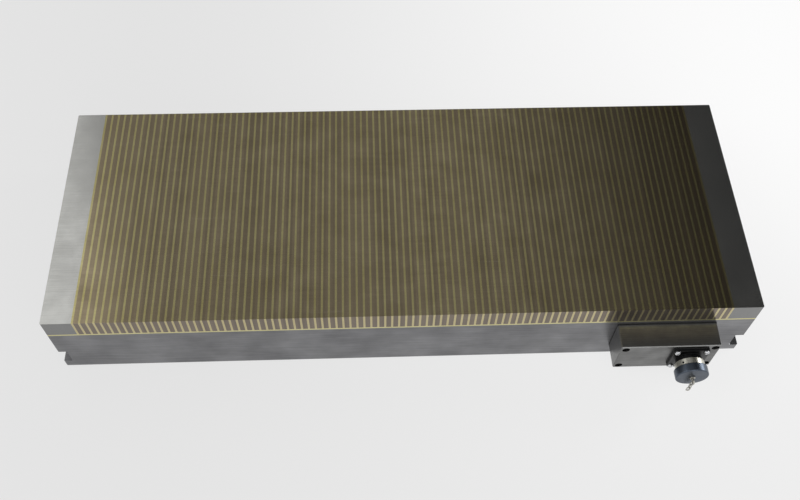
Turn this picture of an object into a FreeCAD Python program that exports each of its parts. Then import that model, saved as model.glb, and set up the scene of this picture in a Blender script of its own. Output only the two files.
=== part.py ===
import FreeCAD, Part

import math
import os

# Electromagnetic chuck with a brass-laminated pole face, a bolted terminal box and a capped power socket.
# Millimetres. X runs along the chuck, -Y is the front with the terminal box, +Z is up.
# The origin is the centre of the face that the chuck rests on.

V = FreeCAD.Vector

# ---- driving sizes -------------------------------------------------------------------------------
# Whole chuck
length = 680.0
width = 250.0
height = 90.0
edge_break = 0.8

# Pole face: steel strips across the chuck, a brass spacer on both sides of each strip
plate_thick = 22.0
pole_strip = 4.6
brass_strip = 2.0
end_plate_least = 28.0
pole_relief = 3.0

# Brass frame under the pole face
frame_thick = 2.0
frame_width = 8.0

# Body
side_wall = 18.0
centre_rib = 14.0
floor_thick = 22.0
trough_corner = 12.0

# Clamp grooves across both ends
groove_depth = 9.0
groove_height = 21.5
groove_lip = 10.0
groove_corner = 1.5

# Magnet cores and coils
core_width = 48.0
core_corner = 8.0
former_gap = 0.5
former_wall = 1.5
potting_gap = 6.0
resin_cover = 6.0
wire_dia = 2.6
wire_hole_gap = 0.5
wire_bend = 4.0

# Bolts that hold the cores, from below
core_bolt_dia = 10.0
core_bolt_count = 4
core_bolt_bite = 18.0
core_bolt_end = 58.0

# Bolts that hold the end plates, from below
end_bolt_dia = 8.0
end_bolt_count = 3
end_bolt_bite = 14.0
end_bolt_side = 32.0

# Terminal box on the front face
box_length = 97.0
box_height = 44.0
box_depth = 24.0
box_gasket = 1.0
box_from_right = 37.0
box_below_frame = 5.0
box_wall = 5.0
box_end_wall = 12.0
box_corner = 5.0
box_screw_dia = 4.0
box_screw_head_gap = 0.3
box_screw_inset = 5.0
box_screw_sink = 3.0
box_screw_bite = 10.0

# Power socket
socket_from_box_end = 27.5
flange_side = 35.0
flange_thick = 2.5
flange_corner = 3.0
flange_screw_pitch = 28.0
flange_screw_dia = 3.0
flange_gasket = 0.5
neck_length = 4.5
collar_radius = 14.2
collar_length = 6.3
collar_edge = 0.5
thread_radius = 12.5
thread_length = 5.8
mouth_radius = 10.5
barrel_radius = 11.0
barrel_tail = 2.0
insert_radius = 9.4
insert_lip = 1.0
insert_length = 17.0
retainer_thick = 1.5
retainer_bore = 8.0
pin_radius = 1.25
pin_tail_radius = 1.6
pin_spacing = 10.0
pin_reach = 5.0
pin_tail = 7.0
key_width = 2.0
key_height = 1.0
lock_screw_radius = 1.0
lock_screw_depth = 1.0
lock_screw_sink = 0.3
lock_screw_from_front = 2.3
lock_screw_angle = 132.0
cable_hole_radius = 7.0
grommet_bore = 4.5
grommet_flange = 2.0
grommet_thick = 1.5

# Cap of the socket
cap_radius = 16.0
cap_floor = 1.5
cap_edge = 1.2
cap_seat_gap = 0.3
seal_thick = 1.2
seal_gap = 0.3
swivel_radius = 1.5
swivel_head = 3.2
swivel_head_thick = 1.0
swivel_washer = 3.0
swivel_washer_thick = 0.8
swivel_stem = 1.3
eye_radius = 2.3
eye_wire = 0.7

# Keeper chain
link_wire = 0.6
link_bend = 1.6
link_straight = 4.2
link_count = 3
link_gap = 0.1

# Clearances
thread_gap = 0.1
bolt_gap = 0.5
fit_gap = 0.05
swivel_gap = 0.2

# ---- levels and places worked out from them ------------------------------------------------------
half_length = length / 2
half_width = width / 2
body_top = height - plate_thick - frame_thick
pole_bottom = height - plate_thick

pitch = pole_strip + brass_strip
pole_count = int((length - 2 * end_plate_least - brass_strip) // pitch)
pack_half = (pole_count * pitch + brass_strip) / 2
first_pole = pack_half - brass_strip

coil_window = (width - 2 * side_wall - centre_rib - 2 * core_width) / 4
trough_width = 2 * coil_window + core_width
core_centre = centre_rib / 2 + trough_width / 2
core_half_length = first_pole - coil_window
coil_thick = coil_window - former_gap - former_wall - potting_gap
former_top = body_top - resin_cover

front = -half_width
box_right = half_length - box_from_right
box_left = box_right - box_length
box_top = body_top - box_below_frame
box_bottom = box_top - box_height
box_back = front - box_gasket
box_front = box_back - box_depth

socket_x = box_right - socket_from_box_end
socket_z = box_bottom + box_height / 2
flange_back = box_front - flange_gasket
flange_front = flange_back - flange_thick
collar_back = flange_front - neck_length
collar_front = collar_back - collar_length
lock_screw_y = collar_front + lock_screw_from_front
mouth = collar_front - thread_length
barrel_end = box_front + box_wall + barrel_tail
insert_back = barrel_end - insert_lip
insert_front = insert_back - insert_length
pin_end = insert_front - pin_reach
pin_back = insert_back + pin_tail

cap_back = collar_front - cap_seat_gap
seal_back = mouth - seal_gap
seal_front = seal_back - seal_thick
cap_inside = seal_front
cap_front = cap_inside - cap_floor
washer_back = cap_front - swivel_gap
washer_front = washer_back - swivel_washer_thick
eye_y = washer_front - swivel_stem - eye_radius


# ---- small shape helpers -------------------------------------------------------------------------
def block(x0, x1, y0, y1, z0, z1):
    """A rectangular block between two corners."""
    return Part.makeBox(x1 - x0, y1 - y0, z1 - z0, V(x0, y0, z0))


def rod_y(x, z, radius, y0, y1):
    """A cylinder along Y from y0 to y1."""
    return Part.makeCylinder(radius, y1 - y0, V(x, y0, z), V(0, 1, 0))


def rod_z(x, y, radius, z0, z1):
    """A cylinder along Z from z0 to z1."""
    return Part.makeCylinder(radius, z1 - z0, V(x, y, z0), V(0, 0, 1))


def rounded_outline(a0, a1, b0, b1, radius, place):
    """A closed rectangle with round corners; place(a, b) puts a flat point in space."""
    s = radius * math.sqrt(0.5)
    corners = [
        ((a1 - radius, b0), (a1 - radius + s, b0 + radius - s), (a1, b0 + radius)),
        ((a1, b1 - radius), (a1 - radius + s, b1 - radius + s), (a1 - radius, b1)),
        ((a0 + radius, b1), (a0 + radius - s, b1 - radius + s), (a0, b1 - radius)),
        ((a0, b0 + radius), (a0 + radius - s, b0 + radius - s), (a0 + radius, b0)),
    ]
    edges = []
    for i, (start, middle, end) in enumerate(corners):
        edges.append(Part.Arc(place(*start), place(*middle), place(*end)).toShape())
        edges.append(Part.LineSegment(place(*end), place(*corners[(i + 1) % 4][0])).toShape())
    return Part.Face(Part.Wire(edges))


def rounded_block(x0, x1, y0, y1, z0, z1, radius):
    """A block whose upright edges are round."""
    face = rounded_outline(x0, x1, y0, y1, radius, lambda a, b: V(a, b, z0))
    return face.extrude(V(0, 0, z1 - z0))


def rounded_plate(x0, x1, z0, z1, y0, y1, radius):
    """A block whose edges along Y are round."""
    face = rounded_outline(x0, x1, z0, z1, radius, lambda a, b: V(a, y0, b))
    return face.extrude(V(0, y1 - y0, 0))


def hex_prism(across_flats, depth, base, direction):
    """A hexagonal prism for the recess of a socket screw."""
    radius = across_flats / math.sqrt(3)
    corners = [V(radius * math.cos(math.radians(60 * i)), radius * math.sin(math.radians(60 * i)), 0)
               for i in range(7)]
    prism = Part.Face(Part.makePolygon(corners)).extrude(V(0, 0, depth))
    prism.Placement = FreeCAD.Placement(base, FreeCAD.Rotation(V(0, 0, 1), direction))
    return prism


def socket_screw(dia, shank, seat, direction):
    """A socket head cap screw. seat is the centre under the head; direction points from there to the tip."""
    back = V(direction).multiply(-1)
    head_radius = 0.8 * dia if dia > 6 else 0.85 * dia
    crown = seat + back.multiply(dia)
    head = Part.makeCylinder(head_radius, dia, crown, direction)
    rim = [e for e in head.Edges if e.Closed and abs((e.CenterOfMass - crown).dot(direction)) < 0.01]
    head = head.makeChamfer(0.08 * dia, rim)
    recess = hex_prism(0.8 * dia, 0.5 * dia, crown, direction)
    body = head.fuse(Part.makeCylinder(dia / 2, shank, seat, direction)).cut(recess)
    return body.removeSplitter()


def wire_along(points, dia, bend):
    """A round lead along straight runs joined by tangent arcs of one bend radius."""
    points = [V(*p) for p in points]
    edges = []
    start = points[0]
    for before, corner, after in zip(points, points[1:], points[2:]):
        u = (before - corner).normalize()
        w = (after - corner).normalize()
        half_turn = (math.pi - u.getAngle(w)) / 2
        run = bend * math.tan(half_turn)
        first = corner + V(u).multiply(run)
        last = corner + V(w).multiply(run)
        bisector = (u + w).normalize()
        centre = corner + V(bisector).multiply(bend / math.cos(half_turn))
        middle = centre - V(bisector).multiply(bend)
        edges.append(Part.LineSegment(start, first).toShape())
        edges.append(Part.Arc(first, middle, last).toShape())
        start = last
    edges.append(Part.LineSegment(start, points[-1]).toShape())
    path = Part.Wire(edges)
    direction = points[1] - points[0]
    section = Part.Wire(Part.Circle(points[0], direction, dia / 2).toShape())
    tube = path.makePipeShell([section], True, True)
    return tube


def evenly(first, last, count):
    """count places spread evenly from first to last."""
    return [first + (last - first) * i / (count - 1) for i in range(count)]


# ---- places that several pieces share ------------------------------------------------------------
core_bolt_places = [(x, y) for y in (-core_centre, core_centre)
                    for x in evenly(core_bolt_end - core_half_length, core_half_length - core_bolt_end,
                                    core_bolt_count)]
end_bolt_x = (first_pole + half_length - groove_depth) / 2
end_bolt_places = [(side * end_bolt_x, y) for side in (-1, 1)
                   for y in evenly(end_bolt_side - half_width, half_width - end_bolt_side, end_bolt_count)]
box_screw_places = [(x, z) for x in (box_left + box_screw_inset, box_right - box_screw_inset)
                    for z in (box_bottom + box_screw_inset, box_top - box_screw_inset)]
flange_screw_places = [(socket_x + i * flange_screw_pitch / 2, socket_z + j * flange_screw_pitch / 2)
                       for i in (-1, 1) for j in (-1, 1)]
pin_places = [socket_x - pin_spacing / 2, socket_x + pin_spacing / 2]
jumper_x = -200.0
jumper_z = (floor_thick + former_top) / 2

coil_outside = core_centre + core_width / 2 + coil_window - potting_gap
lead_level = former_top + wire_dia
lead_y = -(core_centre + trough_width / 2 - potting_gap / 2)
lead_spread = wire_dia * 0.75
return_x = core_half_length + coil_window / 2 - former_wall

spread_y = box_back - grommet_thick
join_y = pin_back + wire_bend / 2
positive_route = [
    (socket_x - lead_spread, -coil_outside, socket_z),
    (socket_x - lead_spread, spread_y, socket_z),
    (pin_places[0], join_y, socket_z),
    (pin_places[0], pin_back, socket_z),
]
negative_route = [
    (return_x, core_centre, lead_level),
    (return_x, lead_y, lead_level),
    (socket_x + lead_spread, lead_y, socket_z),
    (socket_x + lead_spread, spread_y, socket_z),
    (pin_places[1], join_y, socket_z),
    (pin_places[1], pin_back, socket_z),
]


# ---- body ----------------------------------------------------------------------------------------
def troughs(top):
    """The two pockets for core and coil, from the floor up to top."""
    reach = trough_width / 2
    return [rounded_block(-first_pole, first_pole, y - reach, y + reach, floor_thick, top, trough_corner)
            for y in (-core_centre, core_centre)]


def clamp_groove(side):
    """The slot across one end that a hold-down clamp reaches into; side is -1 left, 1 right."""
    z0, z1 = groove_lip, groove_lip + groove_height
    inner, outer = half_length - groove_depth, half_length + groove_corner + 1
    slot = block(inner, outer, -half_width - 1, half_width + 1, z0, z1)
    roots = [e for e in slot.Edges if e.Length > width and abs(e.CenterOfMass.x - inner) < 0.01]
    slot = slot.makeFillet(groove_corner, roots)
    if side < 0:
        slot = slot.mirror(V(0, 0, 0), V(1, 0, 0))
    return slot


def make_base_body():
    """The machined steel body: floor, walls, centre rib, clamp grooves and every hole in them."""
    outer = block(-half_length, half_length, -half_width, half_width, 0, body_top)
    long_low = [e for e in outer.Edges if abs(e.CenterOfMass.z) < 0.01]
    upright = [e for e in outer.Edges if abs(e.CenterOfMass.z - body_top / 2) < 0.01]
    outer = outer.makeChamfer(edge_break, long_low + upright)
    inside = frame_width
    ledge = block(inside - half_length, half_length - inside, inside - half_width, half_width - inside,
                  body_top, pole_bottom)
    body = outer.fuse(ledge)
    cuts = troughs(pole_bottom + 1)
    cuts += [clamp_groove(-1), clamp_groove(1)]
    head = core_bolt_dia
    for x, y in core_bolt_places:
        cuts.append(rod_z(x, y, 0.8 * head + 1, -1, head + 1))
        cuts.append(rod_z(x, y, head / 2 + bolt_gap, 0, floor_thick + 1))
    head = end_bolt_dia
    for x, y in end_bolt_places:
        cuts.append(rod_z(x, y, 0.8 * head + 1, -1, head + 1))
        cuts.append(rod_z(x, y, head / 2 + bolt_gap, 0, pole_bottom + 1))
    for x, z in box_screw_places:
        depth = box_screw_bite + box_screw_dia / 2
        cuts.append(rod_y(x, z, box_screw_dia / 2 + thread_gap, front - 1, front + depth))
    cuts.append(rod_y(socket_x, socket_z, cable_hole_radius, front - 1, front + side_wall + 1))
    hole = wire_dia / 2 + wire_hole_gap
    rib = centre_rib / 2 + 1
    cuts.append(rod_y(jumper_x, jumper_z, hole, -rib, rib))
    cuts.append(rod_y(return_x, lead_level, hole, -rib, rib))
    return body.cut(cuts)


# ---- magnet --------------------------------------------------------------------------------------
def core_outline(y, grow, z0, z1):
    """A bar round one core, grown by a margin on all four sides."""
    half_x, half_y = core_half_length + grow, core_width / 2 + grow
    return rounded_block(-half_x, half_x, y - half_y, y + half_y, z0, z1, core_corner + grow)


def make_core(y):
    """One solid iron core, bolted to the floor and ground level with the ledges."""
    core = core_outline(y, 0, floor_thick, pole_bottom)
    depth = core_bolt_bite + core_bolt_dia / 4
    taps = [rod_z(bx, by, core_bolt_dia / 2 + thread_gap, floor_thick - 1, floor_thick + depth)
            for bx, by in core_bolt_places if by * y > 0]
    return core.cut(taps)


def make_former(y):
    """The spool that a coil is wound on: a sleeve with a flange at both ends."""
    hub = core_outline(y, former_gap + former_wall, floor_thick, former_top)
    grow = former_gap + former_wall + coil_thick
    low = core_outline(y, grow, floor_thick, floor_thick + former_wall)
    high = core_outline(y, grow, former_top - former_wall, former_top)
    bore = core_outline(y, former_gap, floor_thick - 1, former_top + 1)
    return hub.fuse([low, high]).cut(bore).removeSplitter()


def make_coil(y):
    """The winding, as one closed ring between the flanges of its former."""
    z0, z1 = floor_thick + former_wall, former_top - former_wall
    inner = former_gap + former_wall
    return core_outline(y, inner + coil_thick, z0, z1).cut(core_outline(y, inner, z0 - 1, z1 + 1))


def make_potting(leads):
    """Cast resin that fills both troughs round the coils up to the brass frame."""
    solids = []
    for y, trough in zip((-core_centre, core_centre), troughs(body_top)):
        grow = former_gap + former_wall + coil_thick
        spool = core_outline(y, grow, floor_thick, former_top)
        core = core_outline(y, 0, floor_thick, body_top + 1)
        solids += trough.cut([spool, core] + leads).Solids
    return Part.makeCompound(solids)


def make_jumper():
    """The lead that joins the two coils through the centre rib."""
    reach = core_centre - core_width / 2 - coil_window + potting_gap
    return rod_y(jumper_x, jumper_z, wire_dia / 2, -reach, reach)


# ---- pole face -----------------------------------------------------------------------------------
def strip_profile(pads):
    """The end view of a pole strip: full height, relieved below except on the pads (pairs of y)."""
    points = [(-half_width, height), (-half_width, pole_bottom)]
    for (a, b), (c, d) in zip(pads, pads[1:]):
        points += [(b, pole_bottom), (b, pole_bottom + pole_relief),
                   (c, pole_bottom + pole_relief), (c, pole_bottom)]
    points += [(half_width, pole_bottom), (half_width, height), (-half_width, height)]
    return points


def make_pole_strips(first):
    """Every second pole strip, starting with the first or the second one from the left."""
    frame_edge = half_width - frame_width
    inner, outer = core_centre - core_width / 2, core_centre + core_width / 2
    wall_edge, rib = half_width - side_wall, centre_rib / 2
    north = [(-half_width, -frame_edge), (-outer, -inner), (inner, outer), (frame_edge, half_width)]
    south = [(-half_width, -wall_edge), (-rib, rib), (wall_edge, half_width)]
    profile = strip_profile(south if first else north)
    solids = []
    for i in range(first, pole_count, 2):
        x = -first_pole + i * pitch
        face = Part.Face(Part.makePolygon([V(x, y, z) for y, z in profile]))
        solids.append(face.extrude(V(pole_strip, 0, 0)))
    return Part.makeCompound(solids)


def make_brass_spacers():
    """The brass strips between the poles, and one at each end of the pack."""
    return Part.makeCompound([
        block(-pack_half + i * pitch, -pack_half + i * pitch + brass_strip, -half_width, half_width,
              pole_bottom, height)
        for i in range(pole_count + 1)])


def make_end_plate(side):
    """The solid steel plate at one end of the pole face; side is -1 left, 1 right."""
    plate = block(pack_half, half_length, -half_width, half_width, pole_bottom, height)
    upright = [e for e in plate.Edges if abs(e.CenterOfMass.x - half_length) < 0.01
               and abs(e.CenterOfMass.z - (pole_bottom + height) / 2) < 0.01]
    plate = plate.makeChamfer(edge_break, upright)
    depth = end_bolt_bite + end_bolt_dia / 4
    plate = plate.cut([rod_z(x, y, end_bolt_dia / 2 + thread_gap, pole_bottom - 1, pole_bottom + depth)
                       for x, y in end_bolt_places if x > 0])
    if side < 0:
        plate = plate.mirror(V(0, 0, 0), V(1, 0, 0))
    return plate


def make_brass_frame():
    """The brass ring that keeps the poles apart from the walls and shows as a line all round."""
    outer = block(-half_length, half_length, -half_width, half_width, body_top, pole_bottom)
    upright = [e for e in outer.Edges if abs(e.CenterOfMass.z - (body_top + pole_bottom) / 2) < 0.01]
    outer = outer.makeChamfer(edge_break, upright)
    w = frame_width
    return outer.cut(block(w - half_length, half_length - w, w - half_width, half_width - w,
                           body_top - 1, pole_bottom + 1))


# ---- bolts from below ----------------------------------------------------------------------------
def make_core_bolts():
    """Socket screws up through the floor into the cores."""
    seat = core_bolt_dia + 1
    shank = floor_thick + core_bolt_bite - seat
    return Part.makeCompound([socket_screw(core_bolt_dia, shank, V(x, y, seat), V(0, 0, 1))
                              for x, y in core_bolt_places])


def make_end_bolts():
    """Long socket screws up through the end walls into the end plates."""
    seat = end_bolt_dia + 1
    shank = pole_bottom + end_bolt_bite - seat
    return Part.makeCompound([socket_screw(end_bolt_dia, shank, V(x, y, seat), V(0, 0, 1))
                              for x, y in end_bolt_places])


# ---- terminal box --------------------------------------------------------------------------------
def box_cavity(y0, y1):
    """The hollow of the terminal box between two depths."""
    return rounded_plate(box_left + box_end_wall, box_right - box_end_wall,
                         box_bottom + box_wall, box_top - box_wall, y0, y1, box_corner)


def box_screw_seat():
    """How far in from the front of the box the heads of its screws sit."""
    return box_front + box_screw_sink + box_screw_dia


def make_terminal_box():
    """The milled steel box, open at the back, with counterbores for its four screws."""
    shell = block(box_left, box_right, box_front, box_back, box_bottom, box_top)
    outside = [e for e in shell.Edges if e.CenterOfMass.y < box_back - 0.01]
    shell = shell.makeChamfer(edge_break, outside)
    cuts = [box_cavity(box_front + box_wall, box_back + 1),
            rod_y(socket_x, socket_z, barrel_radius + thread_gap, box_front - 1, box_back)]
    for x, z in box_screw_places:
        cuts.append(rod_y(x, z, 0.85 * box_screw_dia + box_screw_head_gap, box_front - 1, box_screw_seat()))
        cuts.append(rod_y(x, z, box_screw_dia / 2 + bolt_gap / 2, box_front, box_back + 1))
    for x, z in flange_screw_places:
        cuts.append(rod_y(x, z, flange_screw_dia / 2 + fit_gap, box_front - 1, box_front + box_wall + 1))
    return shell.cut(cuts)


def make_box_gasket():
    """The flat gasket between box and body."""
    sheet = block(box_left, box_right, box_back, front, box_bottom, box_top)
    cuts = [box_cavity(box_back - 1, front + 1)]
    cuts += [rod_y(x, z, box_screw_dia / 2 + bolt_gap / 2, box_back - 1, front + 1)
             for x, z in box_screw_places]
    return sheet.cut(cuts)


def make_box_screws():
    """The four socket screws that hold the box to the body."""
    seat = box_screw_seat()
    shank = front + box_screw_bite - seat
    return Part.makeCompound([socket_screw(box_screw_dia, shank, V(x, seat, z), V(0, 1, 0))
                              for x, z in box_screw_places])


# ---- power socket --------------------------------------------------------------------------------
def make_flange_gasket():
    """The rubber pad under the socket flange."""
    h = flange_side / 2
    pad = rounded_plate(socket_x - h, socket_x + h, socket_z - h, socket_z + h,
                        flange_back, box_front, flange_corner)
    cuts = [rod_y(socket_x, socket_z, barrel_radius + thread_gap, flange_back - 1, box_front + 1)]
    cuts += [rod_y(x, z, flange_screw_dia / 2 + bolt_gap / 2, flange_back - 1, box_front + 1)
             for x, z in flange_screw_places]
    return pad.cut(cuts)


def lock_screw_out():
    """The direction from the socket axis out along the small screw in the collar."""
    angle = math.radians(lock_screw_angle)
    return V(math.cos(angle), 0, math.sin(angle))


def lock_screw_rod(radius, r0, r1):
    """A radial rod at the place of the small screw in the collar."""
    base = V(socket_x, lock_screw_y, socket_z) + lock_screw_out().multiply(r0)
    return Part.makeCylinder(radius, r1 - r0, base, lock_screw_out())


def make_socket_shell():
    """Square flange, round neck with the cap thread on its nose, and rear barrel, turned from one bar."""
    h = flange_side / 2
    plate = rounded_plate(socket_x - h, socket_x + h, socket_z - h, socket_z + h,
                          flange_front, flange_back, flange_corner)
    x, z = socket_x, socket_z
    nose = rod_y(x, z, thread_radius, mouth, flange_front)
    rim = [e for e in nose.Edges if e.Closed and abs(e.CenterOfMass.y - mouth) < 0.01]
    nose = nose.makeChamfer(edge_break / 2, rim)
    solid = plate.fuse([nose, rod_y(x, z, barrel_radius, flange_back, barrel_end)])
    cuts = [rod_y(x, z, mouth_radius, mouth - 1, insert_front),
            rod_y(x, z, insert_radius + fit_gap, insert_front, insert_back),
            rod_y(x, z, insert_radius - insert_lip, insert_back - 1, barrel_end + 1)]
    cuts += [rod_y(sx, sz, flange_screw_dia / 2 + bolt_gap / 2, flange_front - 1, flange_back + 1)
             for sx, sz in flange_screw_places]
    cuts.append(lock_screw_rod(lock_screw_radius + fit_gap, thread_radius - lock_screw_depth,
                               thread_radius + 1))
    solid = solid.cut(cuts)
    key = block(x - key_width / 2, x + key_width / 2, mouth + edge_break, insert_front - retainer_thick,
                z + mouth_radius - key_height, z + (mouth_radius + thread_radius) / 2)
    return solid.fuse(key).removeSplitter()


def make_collar():
    """The turned ring round the neck, with a tapped hole for its lock screw."""
    ring = rod_y(socket_x, socket_z, collar_radius, collar_front, collar_back)
    ring = ring.makeChamfer(collar_edge, [e for e in ring.Edges if e.Closed])
    bore = rod_y(socket_x, socket_z, thread_radius + fit_gap, collar_front - 1, collar_back + 1)
    return ring.cut([bore, lock_screw_rod(lock_screw_radius + fit_gap, thread_radius - 1, collar_radius + 1)])


def make_insert():
    """The moulded insulator that carries the pins."""
    disc = rod_y(socket_x, socket_z, insert_radius, insert_front, insert_back)
    step = insert_front + 2 * pin_tail_radius
    cuts = []
    for x in pin_places:
        cuts.append(rod_y(x, socket_z, pin_radius + fit_gap, insert_front - 1, step + 1))
        cuts.append(rod_y(x, socket_z, pin_tail_radius + fit_gap, step, insert_back + 1))
    return disc.cut(cuts)


def make_retainer():
    """The ring in the mouth that keeps the insert from coming forward."""
    y0 = insert_front - retainer_thick
    ring = rod_y(socket_x, socket_z, mouth_radius - fit_gap, y0, insert_front)
    return ring.cut(rod_y(socket_x, socket_z, retainer_bore, y0 - 1, insert_front + 1))


def make_pins():
    """Two stepped contact pins with a solder tail at the back."""
    step = insert_front + 2 * pin_tail_radius
    solids = []
    for x in pin_places:
        nose = rod_y(x, socket_z, pin_radius, pin_end, step)
        tip = [e for e in nose.Edges if e.Closed and abs(e.CenterOfMass.y - pin_end) < 0.01]
        nose = nose.makeChamfer(pin_radius / 3, tip)
        solids.append(nose.fuse(rod_y(x, socket_z, pin_tail_radius, step, pin_back)).removeSplitter())
    return Part.makeCompound(solids)


def make_lock_screw():
    """The headless screw that holds the collar, with its tip in a dimple of the neck."""
    tip = thread_radius - lock_screw_depth + fit_gap
    top = collar_radius - lock_screw_sink
    screw = lock_screw_rod(lock_screw_radius, tip, top)
    base = V(socket_x, lock_screw_y, socket_z) + lock_screw_out().multiply(top)
    return screw.cut(hex_prism(lock_screw_radius, (top - tip) / 2, base, lock_screw_out().multiply(-1)))


def make_flange_screws():
    """Four pan head screws through the flange into the wall of the box."""
    head_height = 0.65 * flange_screw_dia
    top = flange_front - head_height
    solids = []
    for x, z in flange_screw_places:
        head = rod_y(x, z, 0.93 * flange_screw_dia, top, flange_front)
        rim = [e for e in head.Edges if e.Closed and abs(e.CenterOfMass.y - top) < 0.01]
        head = head.makeFillet(0.6 * head_height, rim)
        shank = rod_y(x, z, flange_screw_dia / 2, flange_front, box_front + box_wall)
        solids.append(head.fuse(shank).removeSplitter())
    return Part.makeCompound(solids)


def make_grommet():
    """The rubber bush that the leads pass through, with a flange inside the box."""
    r = cable_hole_radius - fit_gap
    flange_y = front - grommet_thick
    sleeve = rod_y(socket_x, socket_z, r, front, front + side_wall)
    flange = rod_y(socket_x, socket_z, r + grommet_flange, flange_y, front)
    return sleeve.fuse(flange).cut(
        rod_y(socket_x, socket_z, grommet_bore, flange_y - 1, front + side_wall + 1))


# ---- cap and chain -------------------------------------------------------------------------------
def make_cap():
    """The turned aluminium cap that screws over the mouth of the socket."""
    x, z = socket_x, socket_z
    cup = rod_y(x, z, cap_radius, cap_front, cap_back)
    rims = [e for e in cup.Edges if e.Closed]
    cup = cup.makeChamfer(cap_edge, rims)
    bore = rod_y(x, z, thread_radius + thread_gap, cap_inside, cap_back + 1)
    hole = rod_y(x, z, swivel_radius + thread_gap, cap_front - 1, cap_inside + 1)
    return cup.cut([bore, hole])


def make_cap_seal():
    """The rubber disc that the cap presses on the mouth."""
    disc = rod_y(socket_x, socket_z, thread_radius - seal_gap, seal_front, seal_back)
    return disc.cut(rod_y(socket_x, socket_z, swivel_radius + fit_gap, seal_front - 1, seal_back + 1))


def make_swivel():
    """The rivet the cap turns on: head inside, washer outside and an eye for the chain."""
    x, z = socket_x, socket_z
    head_front = seal_back + swivel_gap
    head = rod_y(x, z, swivel_head, head_front, head_front + swivel_head_thick)
    shaft = rod_y(x, z, swivel_radius, eye_y + eye_radius, head_front)
    washer = rod_y(x, z, swivel_washer, washer_front, washer_back)
    eye = Part.makeTorus(eye_radius, eye_wire, V(x, eye_y, z), V(1, 0, 0))
    return head.fuse([shaft, washer, eye]).removeSplitter()


def link_body(centre, across):
    """One chain link: a round wire bent to an upright oval; across is the way its width runs."""
    half = link_straight / 2
    up = V(0, 0, 1)

    def at(a, b):
        return centre + V(across).multiply(a) + V(up).multiply(b)

    r = link_bend
    path = Part.Wire([
        Part.LineSegment(at(r, -half), at(r, half)).toShape(),
        Part.Arc(at(r, half), at(0, half + r), at(-r, half)).toShape(),
        Part.LineSegment(at(-r, half), at(-r, -half)).toShape(),
        Part.Arc(at(-r, -half), at(0, -half - r), at(r, -half)).toShape(),
    ])
    section = Part.Wire(Part.Circle(at(r, -half), up, link_wire).toShape())
    return path.makePipeShell([section], True, True)


def chain_links():
    """The hanging links from the eye down, each turned a quarter from the one above it."""
    links = []
    hang = socket_z - eye_radius
    holder = eye_wire
    for i in range(link_count):
        top = hang + holder + link_wire + link_gap
        centre = V(socket_x, eye_y, top - link_bend - link_straight / 2)
        links.append(link_body(centre, V(1, 0, 0) if i % 2 == 0 else V(0, 1, 0)))
        hang = top - 2 * link_bend - link_straight
        holder = link_wire
    return links


# ---- export --------------------------------------------------------------------------------------
def main():
    positive = wire_along(positive_route, wire_dia, wire_bend)
    negative = wire_along(negative_route, wire_dia, wire_bend)
    jumper = make_jumper()
    nodes = {
        "base_body": make_base_body(),
        "magnet_core_front": make_core(-core_centre),
        "magnet_core_rear": make_core(core_centre),
        "coil_former_front": make_former(-core_centre),
        "coil_former_rear": make_former(core_centre),
        "coil_front": make_coil(-core_centre),
        "coil_rear": make_coil(core_centre),
        "potting_resin": make_potting([positive, negative, jumper]),
        "coil_jumper_lead": jumper,
        "positive_lead": positive,
        "negative_lead": negative,
        "cable_grommet": make_grommet(),
        "brass_frame": make_brass_frame(),
        "north_pole_strips": make_pole_strips(0),
        "south_pole_strips": make_pole_strips(1),
        "brass_spacer_strips": make_brass_spacers(),
        "end_plate_left": make_end_plate(-1),
        "end_plate_right": make_end_plate(1),
        "core_bolts": make_core_bolts(),
        "end_plate_bolts": make_end_bolts(),
        "terminal_box": make_terminal_box(),
        "terminal_box_gasket": make_box_gasket(),
        "terminal_box_screws": make_box_screws(),
        "socket_flange_gasket": make_flange_gasket(),
        "socket_shell": make_socket_shell(),
        "socket_collar": make_collar(),
        "socket_insert": make_insert(),
        "socket_retaining_ring": make_retainer(),
        "socket_pins": make_pins(),
        "socket_lock_screw": make_lock_screw(),
        "socket_flange_screws": make_flange_screws(),
        "socket_cap": make_cap(),
        "cap_seal": make_cap_seal(),
        "cap_swivel_eye": make_swivel(),
    }
    for i, link in enumerate(chain_links(), 1):
        nodes["chain_link_%d" % i] = link
    os.makedirs("parts", exist_ok=True)
    for name, shape in nodes.items():
        shape.exportStep("parts/%s.step" % name)
        print("%-24s solids %3d  volume %12.1f  valid %s"
              % (name, len(shape.Solids), shape.Volume, shape.isValid()))


main()
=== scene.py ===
"""Dress the magnetic chuck: finishes for every part, new turned and threaded pieces, and a plain studio."""
import logging
import math
from dataclasses import dataclass, field
from enum import Enum

import bmesh
import bpy
import numpy as np
from mathutils import Matrix, Vector


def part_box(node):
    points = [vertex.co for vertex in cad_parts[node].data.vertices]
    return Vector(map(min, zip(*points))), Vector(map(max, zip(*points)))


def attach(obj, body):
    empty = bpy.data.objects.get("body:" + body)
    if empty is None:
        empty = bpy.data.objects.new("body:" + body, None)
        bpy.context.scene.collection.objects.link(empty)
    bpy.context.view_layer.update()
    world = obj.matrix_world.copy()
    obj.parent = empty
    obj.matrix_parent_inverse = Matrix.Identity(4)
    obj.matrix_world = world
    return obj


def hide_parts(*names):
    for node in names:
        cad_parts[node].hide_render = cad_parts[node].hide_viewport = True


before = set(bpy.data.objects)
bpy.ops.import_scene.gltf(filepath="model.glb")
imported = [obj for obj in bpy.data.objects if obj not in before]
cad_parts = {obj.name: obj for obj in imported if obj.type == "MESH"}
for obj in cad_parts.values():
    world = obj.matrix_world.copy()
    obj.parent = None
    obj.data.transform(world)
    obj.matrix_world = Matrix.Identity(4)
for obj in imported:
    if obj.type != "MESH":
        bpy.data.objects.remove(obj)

LOG = logging.getLogger("chuck")
MM = 0.001
FULL_TURN = 2 * math.pi
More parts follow.
